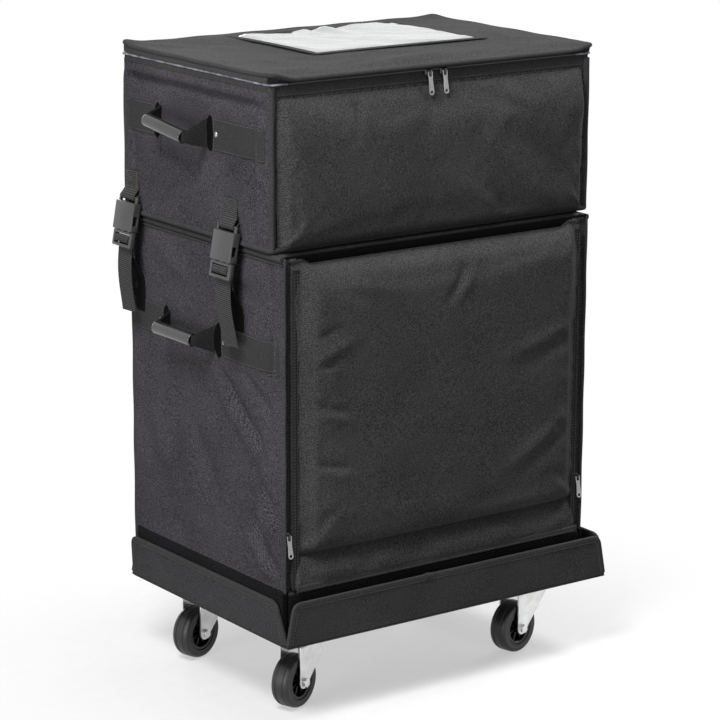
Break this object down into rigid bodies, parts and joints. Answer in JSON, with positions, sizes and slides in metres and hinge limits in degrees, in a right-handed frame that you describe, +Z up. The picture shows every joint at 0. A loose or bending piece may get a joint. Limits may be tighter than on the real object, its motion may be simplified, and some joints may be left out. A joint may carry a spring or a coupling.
{
  "type": "wheeled padded transport case",
  "caption": "Padded fabric transport case in two buckled tiers, with a zipped lid, a zipped front flap and carrying handles, standing in a skirted tray on a caster dolly.",
  "frame": {"origin": "on the floor, under the middle of the part's bounding box", "axes": "+Z up, +X to the right along the front, the zipped front flap faces -Y"},
  "size_m": [0.666, 0.432, 0.9524],
  "materials": {
    "fabric": "woven",
    "webbing": "ribbed",
    "vinyl": "gloss",
    "buckle_plastic": "matte",
    "grip_plastic": "satin",
    "plywood": "matte",
    "zinc": "zinc plated",
    "slider_metal": "gunmetal",
    "hub_plastic": "satin",
    "tyre": "matte"
  },
  "bodies": {
    "base": {"base_board": "plywood", "tray_floor": "fabric", "caster_fl_plate": "zinc", "caster_fr_plate": "zinc", "caster_bl_plate": "zinc", "caster_br_plate": "zinc"},
    "caster_fl": {"caster_fl_fork": "zinc", "caster_fl_axle": "zinc"},
    "wheel_fl": {"caster_fl_hub": "hub_plastic", "caster_fl_tyre": "tyre"},
    "caster_fr": {"caster_fr_fork": "zinc", "caster_fr_axle": "zinc"},
    "wheel_fr": {"caster_fr_hub": "hub_plastic", "caster_fr_tyre": "tyre"},
    "caster_bl": {"caster_bl_fork": "zinc", "caster_bl_axle": "zinc"},
    "wheel_bl": {"caster_bl_hub": "hub_plastic", "caster_bl_tyre": "tyre"},
    "caster_br": {"caster_br_fork": "zinc", "caster_br_axle": "zinc"},
    "wheel_br": {"caster_br_hub": "hub_plastic", "caster_br_tyre": "tyre"},
    "skirt_front": {"skirt_front": "fabric"},
    "skirt_back": {"skirt_back": "fabric"},
    "skirt_left": {"skirt_left": "fabric"},
    "skirt_right": {"skirt_right": "fabric"},
    "lower_case": {"lower_shell": "fabric", "buckle_lf_strap": "webbing", "buckle_lb_strap": "webbing", "buckle_rf_strap": "webbing", "buckle_rb_strap": "webbing"},
    "front_flap": {"front_flap": "fabric"},
    "flap_slider_left": {"flap_slider_left": "slider_metal"},
    "flap_pull_left": {"flap_pull_left": "slider_metal"},
    "flap_slider_right": {"flap_slider_right": "slider_metal"},
    "flap_pull_right": {"flap_pull_right": "slider_metal"},
    "buckle_lf_plug": {"buckle_lf_male": "buckle_plastic"},
    "buckle_lb_plug": {"buckle_lb_male": "buckle_plastic"},
    "buckle_rf_plug": {"buckle_rf_male": "buckle_plastic"},
    "buckle_rb_plug": {"buckle_rb_male": "buckle_plastic"},
    "upper_case": {"upper_shell": "fabric", "buckle_lf_female": "buckle_plastic", "buckle_lb_female": "buckle_plastic", "buckle_rf_female": "buckle_plastic", "buckle_rb_female": "buckle_plastic"},
    "lid": {"lid": "fabric", "window_film": "vinyl"},
    "lid_slider_left": {"lid_slider_left": "slider_metal"},
    "lid_pull_left": {"lid_pull_left": "slider_metal"},
    "lid_slider_right": {"lid_slider_right": "slider_metal"},
    "lid_pull_right": {"lid_pull_right": "slider_metal"},
    "handle_upper_left": {"handle_upper_left_grip": "grip_plastic", "handle_upper_left_strap": "webbing"},
    "handle_upper_right": {"handle_upper_right_grip": "grip_plastic", "handle_upper_right_strap": "webbing"},
    "handle_lower_left": {"handle_lower_left_grip": "grip_plastic", "handle_lower_left_strap": "webbing"},
    "handle_lower_right": {"handle_lower_right_grip": "grip_plastic", "handle_lower_right_strap": "webbing"}
  },
  "joints": [
    {"name": "swivel_fl", "type": "hinge", "parent": "base", "child": "caster_fl", "pos_m": [-0.198, -0.133, 0.1], "axis": [0, 0, 1], "continuous": true},
    {"name": "wheel_spin_fl", "type": "hinge", "parent": "caster_fl", "child": "wheel_fl", "pos_m": [-0.22881, -0.14483, 0.04], "axis": [-0.3584, 0.9336, 0], "continuous": true},
    {"name": "swivel_fr", "type": "hinge", "parent": "base", "child": "caster_fr", "pos_m": [0.222, -0.133, 0.1], "axis": [0, 0, 1], "continuous": true},
    {"name": "wheel_spin_fr", "type": "hinge", "parent": "caster_fr", "child": "wheel_fr", "pos_m": [0.18985, -0.14042, 0.04], "axis": [-0.225, 0.9744, 0], "continuous": true},
    {"name": "swivel_bl", "type": "hinge", "parent": "base", "child": "caster_bl", "pos_m": [-0.198, 0.133, 0.1], "axis": [0, 0, 1], "continuous": true},
    {"name": "wheel_spin_bl", "type": "hinge", "parent": "caster_bl", "child": "wheel_bl", "pos_m": [-0.22956, 0.12335, 0.04], "axis": [-0.2924, 0.9563, 0], "continuous": true},
    {"name": "swivel_br", "type": "hinge", "parent": "base", "child": "caster_br", "pos_m": [0.222, 0.133, 0.1], "axis": [0, 0, 1], "continuous": true},
    {"name": "wheel_spin_br", "type": "hinge", "parent": "caster_br", "child": "wheel_br", "pos_m": [0.19044, 0.12335, 0.04], "axis": [-0.2924, 0.9563, 0], "continuous": true},
    {"name": "skirt_front_fold", "type": "hinge", "parent": "base", "child": "skirt_front", "pos_m": [0.012, -0.216, 0.1206], "axis": [1, 0, 0], "range_deg": [0, 170]},
    {"name": "skirt_back_fold", "type": "hinge", "parent": "base", "child": "skirt_back", "pos_m": [0.012, 0.216, 0.1206], "axis": [-1, 0, 0], "range_deg": [0, 170]},
    {"name": "skirt_left_fold", "type": "hinge", "parent": "base", "child": "skirt_left", "pos_m": [-0.288, 0, 0.1206], "axis": [0, -1, 0], "range_deg": [0, 170]},
    {"name": "skirt_right_fold", "type": "hinge", "parent": "base", "child": "skirt_right", "pos_m": [0.312, 0, 0.1206], "axis": [0, 1, 0], "range_deg": [0, 170]},
    {"name": "lower_case_lift", "type": "slide", "parent": "base", "child": "lower_case", "axis": [0, 0, 1], "range_m": [0, 0.1]},
    {"name": "upper_case_lift", "type": "slide", "parent": "lower_case", "child": "upper_case", "axis": [0, 0, 1], "range_m": [0, 0.15]},
    {"name": "front_flap_open", "type": "hinge", "parent": "lower_case", "child": "front_flap", "pos_m": [-0.0057, -0.2023, 0.6929], "axis": [-1, 0, 0], "range_deg": [0, 165]},
    {"name": "lid_open", "type": "hinge", "parent": "upper_case", "child": "lid", "pos_m": [0, 0.2165, 0.9392], "axis": [-1, 0, 0], "range_deg": [0, 180]},
    {"name": "lid_zip_left", "type": "slide", "parent": "upper_case", "child": "lid_slider_left", "axis": [-1, 0, 0], "range_m": [0, 0.25]},
    {"name": "lid_pull_left_flip", "type": "hinge", "parent": "lid_slider_left", "child": "lid_pull_left", "pos_m": [-0.016, -0.1839, 0.9341], "axis": [-1, 0, 0], "range_deg": [0, 120]},
    {"name": "lid_zip_right", "type": "slide", "parent": "upper_case", "child": "lid_slider_right", "axis": [1, 0, 0], "range_m": [0, 0.25]},
    {"name": "lid_pull_right_flip", "type": "hinge", "parent": "lid_slider_right", "child": "lid_pull_right", "pos_m": [0.011, -0.1839, 0.9341], "axis": [-1, 0, 0], "range_deg": [0, 120]},
    {"name": "flap_zip_left", "type": "slide", "parent": "lower_case", "child": "flap_slider_left", "axis": [0, 0, 1], "range_m": [0, 0.385]},
    {"name": "flap_pull_left_flip", "type": "hinge", "parent": "flap_slider_left", "child": "flap_pull_left", "pos_m": [-0.27545, -0.2012, 0.285], "axis": [-1, 0, 0], "range_deg": [0, 120]},
    {"name": "flap_zip_right", "type": "slide", "parent": "lower_case", "child": "flap_slider_right", "axis": [0, 0, 1], "range_m": [0, 0.385]},
    {"name": "flap_pull_right_flip", "type": "hinge", "parent": "flap_slider_right", "child": "flap_pull_right", "pos_m": [0.26405, -0.2012, 0.285], "axis": [-1, 0, 0], "range_deg": [0, 120]},
    {"name": "buckle_lf_release", "type": "slide", "parent": "lower_case", "child": "buckle_lf_plug", "axis": [-0.1736, 0, -0.9848], "range_m": [0, 0.034], "deforming": ["buckle_lf_strap"]},
    {"name": "buckle_lb_release", "type": "slide", "parent": "lower_case", "child": "buckle_lb_plug", "axis": [-0.1736, 0, -0.9848], "range_m": [0, 0.034], "deforming": ["buckle_lb_strap"]},
    {"name": "buckle_rf_release", "type": "slide", "parent": "lower_case", "child": "buckle_rf_plug", "axis": [0.1736, 0, -0.9848], "range_m": [0, 0.034], "deforming": ["buckle_rf_strap"]},
    {"name": "buckle_rb_release", "type": "slide", "parent": "lower_case", "child": "buckle_rb_plug", "axis": [0.1736, 0, -0.9848], "range_m": [0, 0.034], "deforming": ["buckle_rb_strap"]},
    {"name": "handle_upper_left_swing", "type": "hinge", "parent": "upper_case", "child": "handle_upper_left", "pos_m": [-0.29, 0.045, 0.85], "axis": [0, 1, 0], "range_deg": [-65, 65], "deforming": ["handle_upper_left_strap"]},
    {"name": "handle_upper_right_swing", "type": "hinge", "parent": "upper_case", "child": "handle_upper_right", "pos_m": [0.29, 0.045, 0.85], "axis": [0, -1, 0], "range_deg": [-65, 65], "deforming": ["handle_upper_right_strap"]},
    {"name": "handle_lower_left_swing", "type": "hinge", "parent": "lower_case", "child": "handle_lower_left", "pos_m": [-0.2837, 0.035, 0.545], "axis": [0, 1, 0], "range_deg": [-65, 65], "deforming": ["handle_lower_left_strap"]},
    {"name": "handle_lower_right_swing", "type": "hinge", "parent": "lower_case", "child": "handle_lower_right", "pos_m": [0.2723, 0.035, 0.545], "axis": [0, -1, 0], "range_deg": [-65, 65], "deforming": ["handle_lower_right_strap"]}
  ]
}
